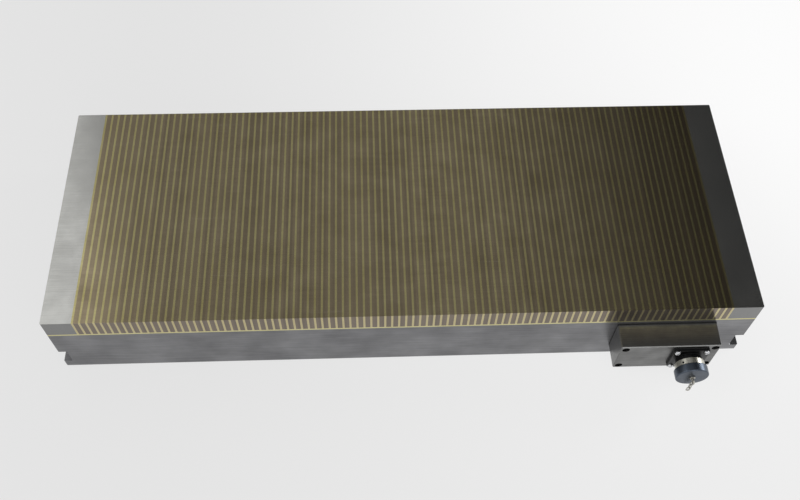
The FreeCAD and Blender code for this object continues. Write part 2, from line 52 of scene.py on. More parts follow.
# Points of a new mesh that lie closer than this, in metres, are one point.
MERGE_DISTANCE = 1e-7
# A Mix node set to colours: the numbers of its two colour inputs and of its colour output.
MIX_FIRST, MIX_SECOND, MIX_RESULT = 6, 7, 2
# The Wave node's wave turns through this many radians for each unit of its scale.
WAVE_RADIANS = 20


class Ends(Enum):
    """How a grid of points is closed at its first and last rows."""

    RING = "the last row joins the first"
    POLES = "each of the two rows is one point"


# ---- small helpers -------------------------------------------------------------------------------
def linear(hex_colour: str) -> tuple[float, float, float, float]:
    """Turn an sRGB hex colour into linear red, green, blue and alpha.

    A channel up to 0.04045 is divided by 12.92, and one above it is ((channel + 0.055) / 1.055)^2.4.

    Args:
        hex_colour: six hex digits, with a leading #.

    Returns:
        The linear colour, with alpha 1.
    """
    srgb = np.array([int(hex_colour[i : i + 2], 16) for i in (1, 3, 5)]) / 255
    low = srgb / 12.92
    high = ((srgb + 0.055) / 1.055) ** 2.4
    return (*np.where(srgb <= 0.04045, low, high).tolist(), 1.0)


def new_material(name: str) -> tuple[bpy.types.Material, bpy.types.NodeTree]:
    """Make a material that uses nodes.

    Args:
        name: the material's name.

    Returns:
        The material and its node tree.
    """
    made = bpy.data.materials.new(name)
    made.use_nodes = True
    return made, made.node_tree


def add_node(tree: bpy.types.NodeTree, kind: str, inputs: dict[str | int, object] | None = None,
             **settings: object) -> bpy.types.Node:
    """Add a shader node with its settings, and fill its inputs with values or links.

    Args:
        tree: the node tree that gets the node.
        kind: the node's type name.
        inputs: value or output socket for each input, by name or number.
        **settings: the node's own properties.

    Returns:
        The new node.
    """
    node = tree.nodes.new(kind)
    for name, value in settings.items():
        setattr(node, name, value)
    for key, value in (inputs or {}).items():
        if isinstance(value, bpy.types.NodeSocket):
            tree.links.new(value, node.inputs[key])
        else:
            node.inputs[key].default_value = value
    return node


def angles(columns: int) -> np.ndarray:
    """Return angles spread evenly over a full turn, shape (1, columns)."""
    return np.linspace(0, FULL_TURN, columns, endpoint=False)[None, :]


def closed_mesh(name: str, points: np.ndarray, ends: Ends, sharp_degrees: float = 32.0) -> bpy.types.Object:
    """Make a closed mesh from grids of points whose columns run round an axis.

    Each face joins a point, the one beside it and the two below them. A grid's last column joins its
    first.

    Args:
        name: the object's name.
        points: an array of shape (copies, rows, columns, 3), in metres.
        ends: how the first and last rows are closed.
        sharp_degrees: edges that turn by more than this stay sharp.

    Returns:
        The linked mesh object, with its faces pointing outwards.
    """
    copies, rows, columns = points.shape[:3]
    start = np.arange(copies)[:, None, None] * rows * columns
    row = np.arange(rows if ends is Ends.RING else rows - 1)[None, :, None]
    column = np.arange(columns)[None, None, :]
    here = start + row * columns
    below = start + (row + 1) % rows * columns
    beside = (column + 1) % columns
    quads = np.stack([here + column, here + beside, below + beside, below + column], -1)
    mesh = bpy.data.meshes.new(name)
    mesh.from_pydata(points.reshape(-1, 3), [], quads.reshape(-1, 4))
    edit = bmesh.new()
    edit.from_mesh(mesh)
    bmesh.ops.remove_doubles(edit, verts=edit.verts, dist=MERGE_DISTANCE)
    bmesh.ops.recalc_face_normals(edit, faces=edit.faces)
    edit.to_mesh(mesh)
    edit.free()
    mesh.shade_smooth()
    mesh.set_sharp_from_angle(angle=math.radians(sharp_degrees))
    piece = bpy.data.objects.new(name, mesh)
    bpy.context.scene.collection.objects.link(piece)
    return piece


def rounded_profile(corners: np.ndarray, steps: int) -> np.ndarray:
    """Round the corners of a closed flat profile.

    Each corner P becomes a quadratic curve from P + r u to P + r v, where u and v point from P along its
    two sides: (1-t)^2 (P + r u) + 2 t (1-t) P + t^2 (P + r v).

    Args:
        corners: each corner's two coordinates and its reach r, shape (n, 3).
        steps: points on each rounding.

    Returns:
        The points of the rounded profile, shape (n * steps, 2).
    """
    places = corners[:, :2]
    u = np.roll(places, 1, 0) - places
    v = np.roll(places, -1, 0) - places
    u /= np.linalg.norm(u, axis=1, keepdims=True)
    v /= np.linalg.norm(v, axis=1, keepdims=True)
    t = np.linspace(0, 1, steps)[None, :, None]
    p, r = places[:, None, :], corners[:, None, 2:]
    curve = (1 - t) ** 2 * (p + r * u[:, None]) + 2 * t * (1 - t) * p + t**2 * (p + r * v[:, None])
    return curve.reshape(-1, 2)


def round_axis_y(radius: np.ndarray, y: np.ndarray, turn: np.ndarray, x: float = 0.0,
                 z: float = 0.0) -> np.ndarray:
    """Place radii round an axis along Y: (x + r cos a, y, z + r sin a).

    Args:
        radius: radius at each row and column.
        y: place along the axis at each row, or at each row and column.
        turn: angle of each column, in radians, shape (1, columns).
        x: the axis's place across.
        z: the axis's height.

    Returns:
        Points of shape (rows, columns, 3).
    """
    a = np.broadcast_to(turn, radius.shape)
    y = np.broadcast_to(y, radius.shape)
    return np.stack([x + radius * np.cos(a), y, z + radius * np.sin(a)], -1)


# ---- finishes ------------------------------------------------------------------------------------
@dataclass(frozen=True)
class Finish:
    """A surface with colour variation and fine relief; the plain base of the other finishes.

    The colours are its lighter and its deeper tone, and the sizes of its grain, mottle and relief are in
    millimetres. It is roughest, by half of roughness_spread, where its tone is deepest.
    """

    name: str
    colour: str
    deep: str
    metallic: float = 0.0
    roughness: float = 0.5
    roughness_spread: float = 0.12
    roughness_least: float = 0.04
    grain_mm: float = 0.8
    mottle_mm: float = 25.0
    relief_mm: float = 0.02
    relief_strength: float = 0.5
    ior: float = 1.45
    even_from: float = 0.65
    even_to: float = 1.35

    def grain(self, tree: bpy.types.NodeTree, where: bpy.types.NodeSocket) -> bpy.types.NodeSocket:
        """Add an even, cast or moulded grain.

        Args:
            tree: the material's node tree.
            where: object coordinates.

        Returns:
            The grain, between 0 and 1.
        """
        noise = add_node(tree, "ShaderNodeTexNoise",
                         {"Vector": where, "Scale": 1 / (self.grain_mm * MM), "Detail": 5.0,
                          "Roughness": 0.6})
        return noise.outputs["Fac"]

    def tint(self, tree: bpy.types.NodeTree, where: bpy.types.NodeSocket,
             colour: bpy.types.NodeSocket) -> bpy.types.NodeSocket:
        """Return the colour unchanged; finishes with more variation add theirs here."""
        return colour

    def material(self) -> bpy.types.Material:
        """Build the material: colour, roughness and relief all follow the grain and a slow mottle.

        The grain and the mottle are added, and even_from to even_to of their sum is stretched to 0 to 1.

        Returns:
            The material, reused if it was built before.
        """
        if self.name in bpy.data.materials:
            return bpy.data.materials[self.name]
        made, tree = new_material(self.name)
        shader = tree.nodes["Principled BSDF"]
        where = add_node(tree, "ShaderNodeTexCoord").outputs["Object"]
        grain = self.grain(tree, where)
        mottle = add_node(tree, "ShaderNodeTexNoise",
                          {"Vector": where, "Scale": 1 / (self.mottle_mm * MM), "Detail": 4.0})
        share = add_node(tree, "ShaderNodeMath", {0: grain, 1: mottle.outputs["Fac"]}, operation="ADD")
        even = add_node(tree, "ShaderNodeMapRange",
                        {"Value": share.outputs[0], "From Min": self.even_from, "From Max": self.even_to})
        blend = add_node(tree, "ShaderNodeMix",
                         {"Factor": even.outputs[0], MIX_FIRST: linear(self.deep),
                          MIX_SECOND: linear(self.colour)}, data_type="RGBA")
        tree.links.new(self.tint(tree, where, blend.outputs[MIX_RESULT]), shader.inputs["Base Color"])
        rough = add_node(tree, "ShaderNodeMapRange",
                         {"Value": even.outputs[0], "To Min": self.roughness + self.roughness_spread / 2,
                          "To Max": max(self.roughness - self.roughness_spread / 2, self.roughness_least)})
        tree.links.new(rough.outputs[0], shader.inputs["Roughness"])
        relief = add_node(tree, "ShaderNodeBump", {"Height": grain, "Strength": self.relief_strength,
                                                   "Distance": self.relief_mm * MM})
        tree.links.new(relief.outputs[0], shader.inputs["Normal"])
        shader.inputs["Metallic"].default_value = self.metallic
        if not self.metallic:
            shader.inputs["IOR"].default_value = self.ior
        return made


@dataclass(frozen=True)
class MachinedSteel(Finish):
    """Ground or milled metal: long straight marks along X, stains, and a few stray scratches.

    With a side colour, a face gets painted shade as the Z of its normal falls from up_to to up_from, and
    keeps side_face_share of the top's colour. A scratch fades in as its noise rises from scratch_from to
    scratch_to. With strip_mm, each strip of that width across X has a level of its own.
    """

    mark_mm: float = 60.0
    metallic: float = 1.0
    # The colour of the painted shade on faces that don't face up; empty for none.
    side: str = ""
    side_face_share: float = 0.25
    up_from: float = 0.75
    up_to: float = 0.95
    scratch: str = "#c9c6bd"
    scratch_share: float = 0.25
    scratch_from: float = 0.70
    scratch_to: float = 0.76
    scratch_turn: tuple[float, float, float] = (0.2, 0.15, math.radians(23))
    # In noise cells to the metre: scratches about 55 mm long and 1.1 mm wide, which is wider than real
    # ones, so that they show.
    scratch_scale: tuple[float, float, float] = (18, 900, 900)
    strip_mm: float = 0.0
    strip_darkest: float = 0.9
    strip_lightest: float = 1.08

    def grain(self, tree: bpy.types.NodeTree, where: bpy.types.NodeSocket) -> bpy.types.NodeSocket:
        """Add tool marks: noise stretched to mark_mm along X and packed to grain_mm the other two ways.

        Args:
            tree: the material's node tree.
            where: object coordinates.

        Returns:
            The marks, between 0 and 1.
        """
        fine = 1 / (self.grain_mm * MM)
        spread = add_node(tree, "ShaderNodeMapping",
                          {"Vector": where, "Scale": (1 / (self.mark_mm * MM), fine, fine)})
        noise = add_node(tree, "ShaderNodeTexNoise",
                         {"Vector": spread.outputs[0], "Scale": 1.0, "Detail": 6.0, "Roughness": 0.65})
        return noise.outputs["Fac"]

    def paint_side_shade(self, tree: bpy.types.NodeTree, colour: bpy.types.NodeSocket) -> bpy.types.NodeSocket:
        """Paint shade on faces that don't face up: the side colour, with a share of the top's own
        variation.

        Args:
            tree: the material's node tree.
            colour: the colour of the top.

        Returns:
            The colour, with painted shade on the sides.
        """
        normal = add_node(tree, "ShaderNodeTexCoord").outputs["Normal"]
        facing = add_node(tree, "ShaderNodeSeparateXYZ", {0: normal})
        up = add_node(tree, "ShaderNodeMapRange",
                      {"Value": facing.outputs["Z"], "From Min": self.up_from, "From Max": self.up_to})
        # Painted shade: faces that don't face up take the darker side colour.
        painted_side_shade = add_node(tree, "ShaderNodeMix",
                        {"Factor": self.side_face_share, MIX_FIRST: linear(self.side), MIX_SECOND: colour},
                        data_type="RGBA")
        both = add_node(tree, "ShaderNodeMix",
                        {"Factor": up.outputs[0], MIX_FIRST: painted_side_shade.outputs[MIX_RESULT], MIX_SECOND: colour},
                        data_type="RGBA")
        return both.outputs[MIX_RESULT]

    def scratched(self, tree: bpy.types.NodeTree, where: bpy.types.NodeSocket,
                  colour: bpy.types.NodeSocket) -> bpy.types.NodeSocket:
        """Add stray scratches at a slant: the rare peaks of a long, thin noise.

        Args:
            tree: the material's node tree.
            where: object coordinates.
            colour: the colour under the scratches.

        Returns:
            The colour with its scratches.
        """
        lay = add_node(tree, "ShaderNodeMapping",
                       {"Vector": where, "Rotation": self.scratch_turn, "Scale": self.scratch_scale})
        line = add_node(tree, "ShaderNodeTexNoise", {"Vector": lay.outputs[0], "Scale": 1.0, "Detail": 2.0})
        few = add_node(tree, "ShaderNodeMapRange",
                       {"Value": line.outputs["Fac"], "From Min": self.scratch_from,
                        "From Max": self.scratch_to, "To Max": self.scratch_share})
        marked = add_node(tree, "ShaderNodeMix",
                          {"Factor": few.outputs[0], MIX_FIRST: colour, MIX_SECOND: linear(self.scratch)},
                          data_type="RGBA")
        return marked.outputs[MIX_RESULT]

    def strip_levels(self, tree: bpy.types.NodeTree, where: bpy.types.NodeSocket,
                     colour: bpy.types.NodeSocket) -> bpy.types.NodeSocket:
        """Give each strip across X its own level: a chance value of floor(x / strip + 1/2).

        Args:
            tree: the material's node tree.
            where: object coordinates.
            colour: the colour at an even level.

        Returns:
            The colour, a little lighter or darker from strip to strip.
        """
        place = add_node(tree, "ShaderNodeSeparateXYZ", {0: where})
        count = add_node(tree, "ShaderNodeMath", {0: place.outputs["X"], 1: self.strip_mm * MM},
                         operation="DIVIDE")
        shifted = add_node(tree, "ShaderNodeMath", {0: count.outputs[0], 1: 0.5}, operation="ADD")
        whole = add_node(tree, "ShaderNodeMath", {0: shifted.outputs[0]}, operation="FLOOR")
        chance = add_node(tree, "ShaderNodeTexWhiteNoise", {"W": whole.outputs[0]}, noise_dimensions="1D")
        level = add_node(tree, "ShaderNodeMapRange",
                         {"Value": chance.outputs["Value"], "To Min": self.strip_darkest,
                          "To Max": self.strip_lightest})
        return add_node(tree, "ShaderNodeVectorMath", {0: colour, 1: level.outputs[0]},
                        operation="MULTIPLY").outputs[0]

    def tint(self, tree: bpy.types.NodeTree, where: bpy.types.NodeSocket,
             colour: bpy.types.NodeSocket) -> bpy.types.NodeSocket:
        """Add painted shade on the sides, stray scratches, and a small difference from strip to strip.

        Args:
            tree: the material's node tree.
            where: object coordinates.
            colour: the colour before these.

        Returns:
            The finished colour.
        """
        if self.side:
            colour = self.paint_side_shade(tree, colour)
        colour = self.scratched(tree, where, colour)
        if self.strip_mm:
            colour = self.strip_levels(tree, where, colour)
        return colour


@dataclass(frozen=True)
class TurnedMetal(Finish):
    """Metal turned on a lathe about an axis along Y: rings across the face and lines round the side."""

    metallic: float = 1.0
    axis_x: float = 0.0
    axis_z: float = 0.0

    def grain(self, tree: bpy.types.NodeTree, where: bpy.types.NodeSocket) -> bpy.types.NodeSocket:
        """Add lathe marks: noise that depends only on the radius and on the place along the axis.

        Args:
            tree: the material's node tree.
            where: object coordinates.

        Returns:
            The marks, between 0 and 1.
        """
        centred = add_node(tree, "ShaderNodeVectorMath", {0: where, 1: (self.axis_x, 0, self.axis_z)},
                           operation="SUBTRACT")
        split = add_node(tree, "ShaderNodeSeparateXYZ", {0: centred.outputs[0]})
        flat = add_node(tree, "ShaderNodeCombineXYZ", {"X": split.outputs["X"], "Z": split.outputs["Z"]})
        radius = add_node(tree, "ShaderNodeVectorMath", {0: flat.outputs[0]}, operation="LENGTH")
        marks = add_node(tree, "ShaderNodeCombineXYZ",
                         {"X": radius.outputs["Value"], "Y": split.outputs["Y"]})
        noise = add_node(tree, "ShaderNodeTexNoise",
                         {"Vector": marks.outputs[0], "Scale": 1 / (self.grain_mm * MM), "Detail": 4.0,
                          "Roughness": 0.7})
        return noise.outputs["Fac"]


@dataclass(frozen=True)
class WoundWire(Finish):
    """Layers of lacquered wire wound round Z: a ridge for each turn."""

    metallic: float = 1.0
    turn_mm: float = 2.4

    def grain(self, tree: bpy.types.NodeTree, where: bpy.types.NodeSocket) -> bpy.types.NodeSocket:
        """Add the turns: a sine wave up Z, one wave for each turn_mm.

        Args:
            tree: the material's node tree.
            where: object coordinates.

        Returns:
            The ridges, between 0 and 1.
        """
        wave = add_node(tree, "ShaderNodeTexWave",
                        {"Vector": where, "Scale": FULL_TURN / (WAVE_RADIANS * self.turn_mm * MM),
                         "Distortion": 0.4}, bands_direction="Z")
        return wave.outputs["Fac"]


# Real grinding, milling and lathe marks are about a tenth of a millimetre apart, and the coil's wire is
# under a millimetre thick. All of them are drawn coarser in this file, so that they show.

# Surface-ground mild steel: straight marks along the chuck, warm from handling oil, half bright; its side
# colour is painted shade.
POLE_STEEL = MachinedSteel("mild_steel_surface_ground", "#a99b82", "#8d8069", roughness=0.2,
                           roughness_spread=0.1, grain_mm=0.9, mark_mm=70, relief_mm=0.002, strip_mm=6.6,
                           side="#6c625c")
# Cartridge brass ground flush with the steel: yellow, a little duller where it has tarnished; its side
# colour is painted shade.
BRASS = MachinedSteel("brass_ground_flush", "#d2ca98", "#b4a973", roughness=0.22, roughness_spread=0.1,
                      grain_mm=0.9, mark_mm=50, relief_mm=0.002, scratch="#efe0b0", side="#c2b58c")
# The brass frame's edge: the same brass, painted lighter as a highlight, a pale line under the face.
BRASS_EDGE = MachinedSteel("brass_edge_painted_highlight", "#dcd5a4", "#c6bd86", roughness=0.24, roughness_spread=0.1,
                           grain_mm=0.9, mark_mm=30, relief_mm=0.004, scratch="#efe6bd")
# The same ground steel in one piece at each end: cooler and more even than the narrow strips; its side
# colour is painted shade.
END_STEEL = MachinedSteel("mild_steel_ground_end_block", "#cfcfcb", "#b9b9b5", roughness=0.2,
                          roughness_spread=0.1, grain_mm=0.9, mark_mm=80, relief_mm=0.002, side="#5f5f60")
# Milled and wiped body steel: dull grey with long cutter marks and dark stains.
BODY_STEEL = MachinedSteel("carbon_steel_milled", "#8a8a8c", "#666668", roughness=0.36,
                           roughness_spread=0.16, grain_mm=1.2, mark_mm=45, mottle_mm=34, relief_mm=0.01,
                           scratch="#a4a4a0")
# Milled steel of the terminal box: the same dull grey, with shorter marks.
BOX_STEEL = MachinedSteel("carbon_steel_milled_box", "#7d7d7c", "#616160", roughness=0.34,
                          roughness_spread=0.14, grain_mm=0.9, mark_mm=24, mottle_mm=14, relief_mm=0.01,
                          scratch="#a4a4a0")
# Soft iron cores, rough turned and left bare inside the chuck.
CORE_IRON = MachinedSteel("soft_iron_bare", "#7d7974", "#5f5b56", roughness=0.5, grain_mm=1.0, mark_mm=12)
# Black oxide socket screws: near black, with a faint oily gloss.
BOLT_STEEL = Finish("black_oxide_steel", "#26262a", "#17171a", metallic=1.0, roughness=0.38, grain_mm=0.5,
                    mottle_mm=4)
# Zinc plated screws: bright and slightly bluish, with a fine even grain.
BRIGHT_SCREW = Finish("zinc_plated_steel", "#dfe0e2", "#b9babd", metallic=1.0, roughness=0.2, grain_mm=0.4,
                      mottle_mm=3, relief_mm=0.004)
# Bright wire links: drawn steel wire, nickel plated.
CHAIN_STEEL = Finish("nickel_plated_wire", "#c3c1ba", "#8f8d86", metallic=1.0, roughness=0.24, grain_mm=0.4,
                     mottle_mm=3, relief_mm=0.006)
# Nitrile rubber sheet: matt black, faintly pebbled.
RUBBER = Finish("nitrile_rubber_sheet", "#1d1d1c", "#121211", roughness=0.75, grain_mm=0.5, ior=1.52,
                relief_mm=0.03)
# Moulded phenolic: dark brown, half gloss.
PHENOLIC = Finish("phenolic_moulded", "#2e211b", "#1d1512", roughness=0.4, grain_mm=0.6, mottle_mm=6,
                  ior=1.55)
# Epoxy potting: nearly black, glossy in patches where it settled.
RESIN = Finish("epoxy_potting_cast", "#1c1a18", "#100f0e", roughness=0.3, roughness_spread=0.3,
               grain_mm=2.5, mottle_mm=18, ior=1.55)
# Glass-filled nylon former: off-white with a fine matt grain.
FORMER = Finish("nylon_glass_filled", "#c6c0b0", "#a9a392", roughness=0.55, grain_mm=0.5, ior=1.53)
# PVC sleeve on the leads, black and red: smooth and slightly waxy.
LEAD_BLACK = Finish("pvc_sleeve_black", "#202020", "#151515", roughness=0.42, grain_mm=0.5, mottle_mm=5,
                    ior=1.53)
LEAD_RED = Finish("pvc_sleeve_red", "#9c1f18", "#7a1712", roughness=0.42, grain_mm=0.5, mottle_mm=5,
                  ior=1.53)
# Enamelled copper wire: warm and bright, one ridge for each turn.
COPPER = WoundWire("copper_wire_enamelled", "#b5673a", "#7c4022", roughness=0.3, relief_mm=0.2)


# ---- dressing ------------------------------------------------------------------------------------
@dataclass
class SubAssembly:
    """A group of CAD nodes, each with its finish."""

    finishes: dict[str, Finish] = field(default_factory=dict)

    def dress(self) -> None:
        """Give each of the group's CAD nodes its material."""
        for node, finish in self.finishes.items():
            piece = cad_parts[node]
            if not piece.material_slots:
                piece.data.materials.append(finish.material())
            for slot in piece.material_slots:
                slot.material = finish.material()
            LOG.info("dressed %s with %s", node, finish.name)

    def build(self) -> None:
        """Dress the group's CAD nodes; a group that has new pieces makes them first."""
        self.dress()


@dataclass
class PoleFace(SubAssembly):
    """The laminated face: steel strips, brass spacers, end plates and the brass frame under them."""

    finishes: dict[str, Finish] = field(default_factory=lambda: {
        "north_pole_strips": POLE_STEEL, "south_pole_strips": POLE_STEEL, "brass_spacer_strips": BRASS,
        "brass_frame": BRASS_EDGE, "end_plate_left": END_STEEL, "end_plate_right": END_STEEL})


@dataclass
class MagnetBody(SubAssembly):
    """The steel body with its cores, coils, resin, leads and the bolts from below."""

    finishes: dict[str, Finish] = field(default_factory=lambda: {
        "base_body": BODY_STEEL, "magnet_core_front": CORE_IRON, "magnet_core_rear": CORE_IRON,
        "coil_former_front": FORMER, "coil_former_rear": FORMER, "coil_front": COPPER, "coil_rear": COPPER,
        "potting_resin": RESIN, "coil_jumper_lead": LEAD_BLACK, "positive_lead": LEAD_RED,
        "negative_lead": LEAD_BLACK, "cable_grommet": RUBBER, "core_bolts": BOLT_STEEL,
        "end_plate_bolts": BOLT_STEEL})


@dataclass
class TerminalBox(SubAssembly):
    """The box on the front with its gasket and four sunk screws."""

    finishes: dict[str, Finish] = field(default_factory=lambda: {
        "terminal_box": BOX_STEEL, "terminal_box_gasket": RUBBER, "terminal_box_screws": BOLT_STEEL})


@dataclass
class RoundGroup(SubAssembly):
    """A group that is round about an axis along Y, which its main CAD node gives."""

    low: Vector = field(init=False)
    high: Vector = field(init=False)
    x: float = field(init=False)
    z: float = field(init=False)

    def centre_on(self, box: tuple[Vector, Vector]) -> None:
        """Take the group's two ends and its axis from a CAD node's box.

        Args:
            box: the lowest and the highest corner.
        """
        self.low, self.high = box
        self.x = (self.low.x + self.high.x) / 2
        self.z = (self.low.z + self.high.z) / 2


@dataclass(frozen=True)
class PanHead:
    """A pan head screw with a cross recess.

    The shares and the power shape it: dome_share is the dome's radius as a share of the head's, and
    dome_fall and rim_share are how far the dome falls towards the rim and how high the rim's upper edge
    stands, as shares of the head's height. wall_share is the width of the recess's sloping wall as a
    share of the arm's half width, and taper is the power that its depth follows along the arm.
    """

    columns: int = 96
    rings: int = 30
    dome_share: float = 0.97
    dome_fall: float = 0.55
    rim_share: float = 0.35
    recess_depth_mm: float = 0.9
    recess_arm_mm: float = 1.35
    recess_half_width_mm: float = 0.3
    wall_share: float = 0.35
    taper: float = 0.6
    shank_radius_mm: float = 1.5

    def surface(self, head: float, rise: float, tip: float) -> np.ndarray:
        """Work out one screw, with its axis along Y, its head towards -Y and its seat at the origin.

        The dome's height is rise (1 - fall (r/R)^3) less the recess. The recess is deepest on the axis
        and comes to nothing at the arms' ends, and a point is in an arm where the smaller of |u| and |v|
        is under the half width. From the rim the profile goes in under the head and along the shank.

        Args:
            head: the head's radius, in metres.
            rise: the head's height over its seat.
            tip: height of the shank's end, below the seat and so negative.

        Returns:
            Points of shape (rows, columns, 3).
        """
        turn = angles(self.columns)
        r = np.linspace(0, head * self.dome_share, self.rings)[:, None]
        u, v = r * np.cos(turn), r * np.sin(turn)
        arm, shank = self.recess_half_width_mm * MM, self.shank_radius_mm * MM
        depth_in = arm * (1 + self.wall_share) - np.minimum(np.abs(u), np.abs(v))
        inside = np.clip(depth_in / (arm * self.wall_share), 0, 1)
        taper = np.clip(1 - r / (self.recess_arm_mm * MM), 0, 1) ** self.taper
        dome = rise * (1 - self.dome_fall * (r / head) ** 3) - self.recess_depth_mm * MM * inside * taper
        # Under the dome, each row: its radius and its height.
        below = np.array([[head, rise * self.rim_share], [head, 0], [shank, 0], [shank, tip], [0, tip]])
        wide = (len(below), self.columns)
        radius = np.concatenate([np.broadcast_to(r, dome.shape), np.broadcast_to(below[:, :1], wide)])
        height = np.concatenate([dome, np.broadcast_to(below[:, 1:], wide)])
        return round_axis_y(radius, -height, turn)


@dataclass
class PowerSocket(RoundGroup):
    """The round socket: a flanged shell with a real thread, its collar, inside parts and pan head screws.

    Behind the mouth the bore narrows to the seat, which holds the insert, and behind that to the lip. The
    groove of the thread starts lead_in_mm behind the mouth, comes to its full depth over lead_fade_mm,
    and runs out over run_out_mm at the thread's end.
    """

    flange_mm: float = 35.0
    flange_corner_mm: float = 3.0
    flange_thick_mm: float = 2.5
    flange_back_mm: float = -150.5
    screw_pitch_mm: float = 28.0
    thread_pitch_mm: float = 1.5
    thread_depth_mm: float = 0.7
    thread_mm: float = 5.6
    thread_flat: float = 0.12
    lead_in_mm: float = 0.2
    lead_fade_mm: float = 0.6
    run_out_mm: float = 0.8
    neck_radius_mm: float = 12.5
    mouth_radius_mm: float = 10.5
    barrel_radius_mm: float = 11.0
    seat_radius_mm: float = 9.45
    lip_radius_mm: float = 8.4
    seat_front_mm: float = -161.0
    seat_back_mm: float = -144.0
    key_width_mm: float = 2.0
    key_height_mm: float = 1.0
    key_start_mm: float = 0.3
    # A row of the profile is on the flange, the nose or the mouth's wall by its radius, within these.
    flange_clear_mm: float = 2.0
    nose_near_mm: float = 0.2
    mouth_near_mm: float = 0.3
    columns: int = 288
    nose_rows: int = 148
    corner_steps: int = 5
    shell_finish: TurnedMetal = field(init=False)
    ring_finish: TurnedMetal = field(init=False)

    def __post_init__(self) -> None:
        """Take the socket's axis from the CAD shell, and set the finishes that turn about it."""
        self.centre_on(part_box("socket_shell"))
        # Turned steel, near black as a painted reflection of dark surroundings, with fine lathe lines that
        # catch the light.
        self.shell_finish = TurnedMetal("steel_turned_painted_dark_reflection", "#3a3a3b", "#242425", roughness=0.34,
                                        grain_mm=0.35, mottle_mm=8, relief_mm=0.006, axis_x=self.x,
                                        axis_z=self.z)
        # Plain turned aluminium ring: pale, warm grey, with lathe lines.
        self.ring_finish = TurnedMetal("aluminium_turned_plain", "#d2d0c6", "#aeaca2", roughness=0.3,
                                       grain_mm=0.3, mottle_mm=6, relief_mm=0.006, axis_x=self.x,
                                       axis_z=self.z)
        self.finishes = {
            "socket_flange_gasket": RUBBER, "socket_collar": self.ring_finish, "socket_insert": PHENOLIC,
            "socket_retaining_ring": BRIGHT_SCREW, "socket_pins": BRASS, "socket_lock_screw": BOLT_STEEL}

    def square_radius(self, turn: np.ndarray, half: np.ndarray) -> np.ndarray:
        """Radius of a square with round corners in each direction.

        A side gives half / max(|cos|, |sin|). Near a corner the ray meets the corner's circle instead:
        k (|cos| + |sin|) + sqrt(k^2 (|cos| + |sin|)^2 - 2 k^2 + rc^2), where k = half - rc.

        Args:
            turn: angles, shape (1, columns).
            half: half the square's side at each row, shape (rows, 1), in metres.

        Returns:
            Radii of shape (rows, columns).
        """
        rc = self.flange_corner_mm * MM
        c, s = np.abs(np.cos(turn)), np.abs(np.sin(turn))
        side = half / np.maximum(c, s)
        k = half - rc
        root = k**2 * (c + s) ** 2 - 2 * k**2 + rc**2
        corner = k * (c + s) + np.sqrt(np.maximum(root, 0))
        return np.where(side * np.minimum(c, s) > k, corner, side)

    def thread_cut(self, from_mouth: np.ndarray, turn: np.ndarray) -> np.ndarray:
        """Depth of the thread's groove: depth * gap * fade.

        gap is 1 less a triangle wave of y / pitch + angle / full turn, flattened by thread_flat at its
        top and bottom, and fade runs to zero at both ends of the thread.

        Args:
            from_mouth: distance from the mouth in mm, shape (rows, 1).
            turn: angles, shape (1, columns).

        Returns:
            Depths in mm, shape (rows, columns).
        """
        wave = np.abs(2 * ((from_mouth / self.thread_pitch_mm + turn / FULL_TURN) % 1) - 1)
        gap = 1 - np.clip((wave - self.thread_flat) / (1 - 2 * self.thread_flat), 0, 1)
        lead_in = np.clip((from_mouth - self.lead_in_mm) / self.lead_fade_mm, 0, 1)
        run_out = np.clip((self.thread_mm - from_mouth) / self.run_out_mm, 0, 1)
        return self.thread_depth_mm * gap * (lead_in * run_out)

    def profile(self) -> np.ndarray:
        """Work out the shell's closed profile, with close rows along the nose for the thread.

        Returns:
            Radius and place along the axis in mm, shape (rows, 2).
        """
        mouth, tail = self.low.y / MM, self.high.y / MM
        front, half = self.flange_back_mm - self.flange_thick_mm, self.flange_mm / 2
        # Each corner: its radius, its place along the axis and how far its rounding reaches.
        corners = np.array([
            [self.mouth_radius_mm, mouth, 0.25],
            [self.neck_radius_mm, mouth, 0.4],
            [self.neck_radius_mm, front, 0.15],
            [half, front, 0.3],
            [half, self.flange_back_mm, 0.2],
            [self.barrel_radius_mm, self.flange_back_mm, 0.1],
            [self.barrel_radius_mm, tail, 0.3],
            [self.lip_radius_mm, tail, 0.2],
            [self.lip_radius_mm, self.seat_back_mm, 0.1],
            [self.seat_radius_mm, self.seat_back_mm, 0.1],
            [self.seat_radius_mm, self.seat_front_mm, 0.1],
            [self.mouth_radius_mm, self.seat_front_mm, 0.1],
        ])
        rounded = rounded_profile(corners, self.corner_steps)
        # The nose runs from the end of the second rounding to the start of the third.
        nose_start, nose_end = corners[1, 1] + corners[1, 2], corners[2, 1] - corners[2, 2]
        nose_y = np.linspace(nose_start, nose_end, self.nose_rows + 2)[1:-1]
        nose = np.stack([np.full_like(nose_y, self.neck_radius_mm), nose_y], -1)
        return np.insert(rounded, 2 * self.corner_steps, nose, axis=0)

    def threaded_shell(self) -> bpy.types.Object:
        """Make the shell: its profile round the axis, square at the flange and threaded at the nose.

        Inside the mouth, a straight key at the top makes the bore's radius smaller by its height.

        Returns:
            The shell as one closed mesh.
        """
        profile = self.profile()
        turn = angles(self.columns)
        radius, from_mouth = profile[:, :1], profile[:, 1:] - self.low.y / MM
        wide = np.broadcast_to(radius * MM, (len(profile), self.columns)).copy()
        on_flange = profile[:, 0] > self.neck_radius_mm + self.flange_clear_mm
        wide[on_flange] = self.square_radius(turn, radius[on_flange] * MM)
        on_nose = np.abs(radius - self.neck_radius_mm) < self.nose_near_mm
        wide -= np.where(on_nose, self.thread_cut(from_mouth, turn), 0) * MM
        in_mouth = np.abs(radius - self.mouth_radius_mm) < self.mouth_near_mm
        across = np.abs(np.cos(turn)) * wide / MM
        on_key = (across < self.key_width_mm / 2) & (np.sin(turn) > 0) & (from_mouth > self.key_start_mm)
        wide -= np.where(in_mouth & on_key, self.key_height_mm, 0) * MM
        points = round_axis_y(wide, profile[:, 1:] * MM, turn, self.x, self.z)
        return closed_mesh("socket_shell_threaded", points[None], Ends.RING)

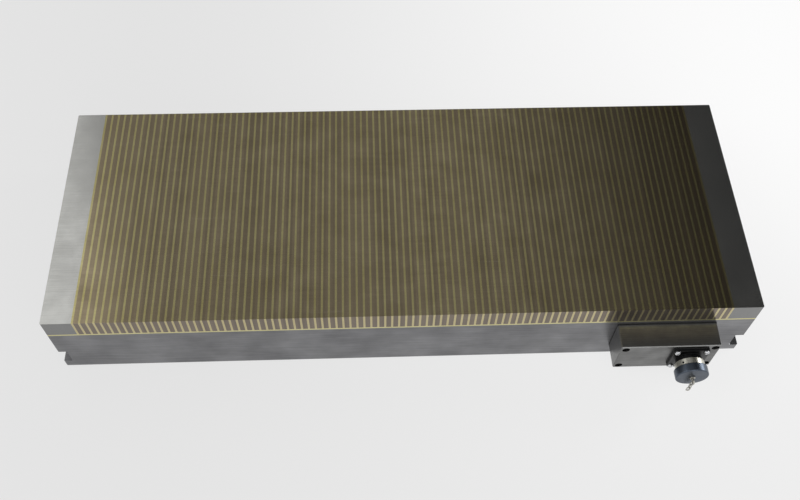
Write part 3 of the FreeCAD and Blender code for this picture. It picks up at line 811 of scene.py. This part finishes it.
    def pan_screws(self) -> bpy.types.Object:
        """Make the four pan head screws, one at each corner of a square.

        Returns:
            The four screws in one mesh.
        """
        low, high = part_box("socket_flange_screws")
        seat = (self.flange_back_mm - self.flange_thick_mm) * MM
        pitch = self.screw_pitch_mm * MM
        screw = PanHead().surface((high.x - low.x - pitch) / 2, seat - low.y, seat - high.y)
        sides = (-pitch / 2, pitch / 2)
        places = np.array([[self.x + across, seat, self.z + up] for across in sides for up in sides])
        return closed_mesh("flange_screw_heads", screw[None] + places[:, None, None, :], Ends.POLES)

    def build(self) -> None:
        """Make the threaded shell and the screws, then dress the rest."""
        new_pieces = (
            (self.threaded_shell, "socket_shell", self.shell_finish, "socket_metal"),
            (self.pan_screws, "socket_flange_screws", BRIGHT_SCREW, "bright_screw_steel"),
        )
        for make, node, finish, slot in new_pieces:
            piece = make()
            piece.data.materials.append(finish.material())
            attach(piece, "chuck")
            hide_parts(node)
            LOG.info("made %s, %d faces", piece.name, len(piece.data.polygons))
        self.dress()


@dataclass
class CapAndChain(RoundGroup):
    """The screw-on cap with its seal, its swivelling eye and the short keeper chain."""

    edge_mm: float = 1.2
    floor_mm: float = 1.5
    bore_radius_mm: float = 12.6
    swivel_hole_radius_mm: float = 1.7
    columns: int = 192
    corner_steps: int = 7
    cap_finish: TurnedMetal = field(init=False)

    def __post_init__(self) -> None:
        """Take the cap's axis from the CAD cap, and set the finishes that turn about it."""
        self.centre_on(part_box("socket_cap"))
        # Anodised aluminium, turned: blue grey and satin, with rings across the face.
        self.cap_finish = TurnedMetal("aluminium_anodised_grey", "#59606a", "#444b55", roughness=0.34,
                                      grain_mm=0.5, mottle_mm=9, relief_mm=0.012, axis_x=self.x,
                                      axis_z=self.z)
        self.finishes = {
            "cap_seal": RUBBER, "cap_swivel_eye": CHAIN_STEEL, "chain_link_1": CHAIN_STEEL,
            "chain_link_2": CHAIN_STEEL, "chain_link_3": CHAIN_STEEL}

    def turned_cap(self) -> bpy.types.Object:
        """Make the cap: one rounded closed profile carried round the axis.

        Returns:
            The cap as one closed mesh with a hole for the swivel.
        """
        face, back = self.low.y / MM, self.high.y / MM
        rim, inside = (self.high.x - self.low.x) / 2 / MM, face + self.floor_mm
        # Each corner: its radius, its place along the axis and how far its rounding reaches.
        corners = np.array([
            [self.swivel_hole_radius_mm, face, 0.2],
            [rim, face, self.edge_mm],
            [rim, back, 0.45],
            [self.bore_radius_mm, back, 0.35],
            [self.bore_radius_mm, inside, 0.3],
            [self.swivel_hole_radius_mm, inside, 0.1],
        ])
        profile = rounded_profile(corners, self.corner_steps) * MM
        radius = np.broadcast_to(profile[:, :1], (len(profile), self.columns))
        points = round_axis_y(radius, profile[:, 1:], angles(self.columns), self.x, self.z)
        return closed_mesh("socket_cap_turned", points[None], Ends.RING)

    def build(self) -> None:
        """Make the cap, then dress the rest."""
        piece = self.turned_cap()
        piece.data.materials.append(self.cap_finish.material())
        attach(piece, "cap")
        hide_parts("socket_cap")
        LOG.info("made %s, %d faces", piece.name, len(piece.data.polygons))
        self.dress()


# ---- studio --------------------------------------------------------------------------------------
@dataclass(frozen=True)
class Lamp:
    """A soft square lamp: where it hangs and the length of its side in metres, and its power."""

    name: str
    place: tuple[float, float, float]
    size: float
    watts: float


@dataclass
class Studio:
    """A pale floor, soft light, a dim card overhead that the polished face reflects, and the camera.

    Places are in metres from the chuck's origin, the camera's turns in degrees, and its lens and sensor
    in millimetres. Each fade is a stretch along X or Y over which a tone changes. card_slant is how far
    the card's back left corner reaches out beyond its front left one. room_light is the world's strength
    as a lamp, and backdrop is its strength where it is seen.
    """

    eye: tuple[float, float, float] = (-0.0329, -0.5312, 0.8629)
    yaw: float = 3.516
    pitch: float = 58.179
    roll: float = 1.758
    lens: float = 41.886
    sensor: float = 36.0
    nearest: float = 0.01
    floor_half: float = 15.0
    floor_left: str = "#e6e6e6"
    floor_right: str = "#ffffff"
    floor_fade_x: tuple[float, float] = (-0.35, 0.5)
    floor_fade_y: tuple[float, float] = (-0.32, 0.2)
    floor_front_share: float = 0.4
    floor_roughness: float = 0.9
    floor_glow: float = 1.05
    floor_glow_share: float = 0.82
    card_x: tuple[float, float] = (-0.44, 2.6)
    card_y: tuple[float, float] = (-0.30, 2.8)
    card_z: float = 1.09
    card_slant: float = 0.72
    card_fade_x: tuple[float, float] = (0.1, 0.8)
    card_left: float = 0.33
    card_right: float = 0.036
    room_light: float = 0.55
    backdrop: float = 0.9
    aim: tuple[float, float, float] = (0.0, 0.0, 0.05)
    lamps: tuple[Lamp, ...] = (
        Lamp("soft_lamp_left", (-1.5, -0.4, 1.5), 1.0, 6.0),
        Lamp("soft_lamp_front", (0.6, -1.8, 1.3), 1.2, 6.0),
        Lamp("edge_lamp_right", (1.56, 0.4, 0.58), 0.6, 7.0),
    )

    def flat(self, name: str, x: tuple[float, float], y: tuple[float, float], z: float,
             slant: float = 0.0) -> bpy.types.Object:
        """Make a level sheet that is part of the studio, not of the chuck.

        Args:
            name: the sheet's name.
            x: its left and right edges.
            y: its front and back edges.
            z: its height.
            slant: how much further left its back left corner stands.

        Returns:
            The linked sheet.
        """
        corners = [(x[0], y[0], z), (x[1], y[0], z), (x[1], y[1], z), (x[0] - slant, y[1], z)]
        mesh = bpy.data.meshes.new(name)
        mesh.from_pydata(corners, [], [(0, 1, 2, 3)])
        sheet = bpy.data.objects.new(name, mesh)
        bpy.context.scene.collection.objects.link(sheet)
        return sheet

    def seen(self, tree: bpy.types.NodeTree) -> bpy.types.NodeSocket:
        """Tell the rays that show a surface apart from those that only carry its light.

        Args:
            tree: the node tree of the surface or of the world.

        Returns:
            1 where a ray comes from the camera, a reflection or glass, otherwise 0.
        """
        path = add_node(tree, "ShaderNodeLightPath")
        two = add_node(tree, "ShaderNodeMath",
                       {0: path.outputs["Is Camera Ray"], 1: path.outputs["Is Glossy Ray"]},
                       operation="MAXIMUM")
        three = add_node(tree, "ShaderNodeMath",
                         {0: two.outputs[0], 1: path.outputs["Is Transmission Ray"]}, operation="MAXIMUM")
        return three.outputs[0]

    def place(self, tree: bpy.types.NodeTree) -> bpy.types.Node:
        """Return a node that gives the object coordinates X, Y and Z apart."""
        return add_node(tree, "ShaderNodeSeparateXYZ",
                        {0: add_node(tree, "ShaderNodeTexCoord").outputs["Object"]})

    def floor(self) -> None:
        """Lay the pale floor: matt paper that keeps the chuck's soft shadow and glows a little when seen.

        Its tone goes from floor_left to floor_right by the product of two smooth steps, along X and Y. A
        ray that shows the floor gets floor_glow_share of the glow, and the rest from the matt paper.
        """
        extent = (-self.floor_half, self.floor_half)
        sheet = self.flat("floor", extent, extent, 0.0)
        made, tree = new_material("paper_pale_grey")
        place = self.place(tree)
        right = add_node(tree, "ShaderNodeMapRange",
                         {"Value": place.outputs["X"], "From Min": self.floor_fade_x[0],
                          "From Max": self.floor_fade_x[1]}, interpolation_type="SMOOTHSTEP")
        back = add_node(tree, "ShaderNodeMapRange",
                        {"Value": place.outputs["Y"], "From Min": self.floor_fade_y[0],
                         "From Max": self.floor_fade_y[1], "To Min": self.floor_front_share},
                        interpolation_type="SMOOTHSTEP")
        both = add_node(tree, "ShaderNodeMath", {0: right.outputs[0], 1: back.outputs[0]},
                        operation="MULTIPLY")
        tone = add_node(tree, "ShaderNodeMix",
                        {"Factor": both.outputs[0], MIX_FIRST: linear(self.floor_left),
                         MIX_SECOND: linear(self.floor_right)}, data_type="RGBA")
        glow = add_node(tree, "ShaderNodeEmission",
                        {"Color": tone.outputs[MIX_RESULT], "Strength": self.floor_glow})
        matt = tree.nodes["Principled BSDF"]
        tree.links.new(tone.outputs[MIX_RESULT], matt.inputs["Base Color"])
        matt.inputs["Roughness"].default_value = self.floor_roughness
        share = add_node(tree, "ShaderNodeMath", {0: self.seen(tree), 1: self.floor_glow_share},
                         operation="MULTIPLY")
        mixed = add_node(tree, "ShaderNodeMixShader",
                         {0: share.outputs[0], 1: matt.outputs[0], 2: glow.outputs[0]})
        tree.links.new(mixed.outputs[0], tree.nodes["Material Output"].inputs["Surface"])
        sheet.data.materials.append(made)

    def card(self) -> None:
        """Hang the dim card overhead: lighter at the left, darker at the right, unseen by the camera."""
        sheet = self.flat("overhead_card", self.card_x, self.card_y, self.card_z, self.card_slant)
        made, tree = new_material("card_grey")
        tree.nodes.remove(tree.nodes["Principled BSDF"])
        level = add_node(tree, "ShaderNodeMapRange",
                         {"Value": self.place(tree).outputs["X"], "From Min": self.card_fade_x[0],
                          "From Max": self.card_fade_x[1], "To Min": self.card_left,
                          "To Max": self.card_right}, interpolation_type="SMOOTHSTEP")
        glow = add_node(tree, "ShaderNodeEmission", {"Strength": level.outputs[0]})
        tree.links.new(glow.outputs[0], tree.nodes["Material Output"].inputs["Surface"])
        sheet.data.materials.append(made)
        sheet.visible_camera = False

    def world(self) -> None:
        """Light the room evenly, and show it pale to the camera and in reflections."""
        made = bpy.data.worlds.new("studio")
        bpy.context.scene.world = made
        made.use_nodes = True
        tree = made.node_tree
        level = add_node(tree, "ShaderNodeMapRange",
                         {"Value": self.seen(tree), "To Min": self.room_light, "To Max": self.backdrop})
        background = tree.nodes["Background"]
        background.inputs["Color"].default_value = (1, 1, 1, 1)
        tree.links.new(level.outputs[0], background.inputs["Strength"])

    def hang(self, lamp: Lamp) -> None:
        """Hang a lamp so that it points at the chuck.

        Args:
            lamp: the lamp to hang.
        """
        light = bpy.data.lights.new(lamp.name, "AREA")
        light.size = lamp.size
        light.energy = lamp.watts
        holder = bpy.data.objects.new(lamp.name, light)
        ahead = Vector(self.aim) - Vector(lamp.place)
        holder.location = lamp.place
        holder.rotation_euler = ahead.to_track_quat("-Z", "Y").to_euler()
        holder.visible_camera = False
        bpy.context.scene.collection.objects.link(holder)

    def camera(self) -> None:
        """Set the camera: its back looks along yaw and pitch, and roll turns it about that line."""
        yaw, pitch, roll = (math.radians(v) for v in (self.yaw, self.pitch, self.roll))
        ahead = Vector((math.sin(yaw) * math.cos(pitch), math.cos(yaw) * math.cos(pitch), -math.sin(pitch)))
        right = ahead.cross(Vector((0, 0, 1))).normalized()
        up = right.cross(ahead)
        side = math.cos(roll) * right + math.sin(roll) * up
        top = -math.sin(roll) * right + math.cos(roll) * up
        lens = bpy.data.cameras.new("camera")
        lens.lens = self.lens
        lens.sensor_width = self.sensor
        lens.clip_start = self.nearest
        holder = bpy.data.objects.new("camera", lens)
        turned = Matrix((side, top, -ahead)).transposed().to_4x4()
        holder.matrix_world = Matrix.Translation(self.eye) @ turned
        bpy.context.scene.collection.objects.link(holder)
        bpy.context.scene.camera = holder

    def build(self) -> None:
        """Set up the whole studio."""
        bpy.context.scene.view_settings.view_transform = "Standard"
        self.camera()
        self.world()
        self.floor()
        self.card()
        for lamp in self.lamps:
            self.hang(lamp)
        LOG.info("studio ready")


def main() -> None:
    """Build the studio and every sub-assembly."""
    logging.basicConfig(level=logging.INFO, format="%(name)s: %(message)s")
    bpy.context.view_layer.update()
    Studio().build()
    for group in (PoleFace(), MagnetBody(), TerminalBox(), PowerSocket(), CapAndChain()):
        group.build()
        LOG.info("finished %s", type(group).__name__)


if __name__ == "__main__":
    main()
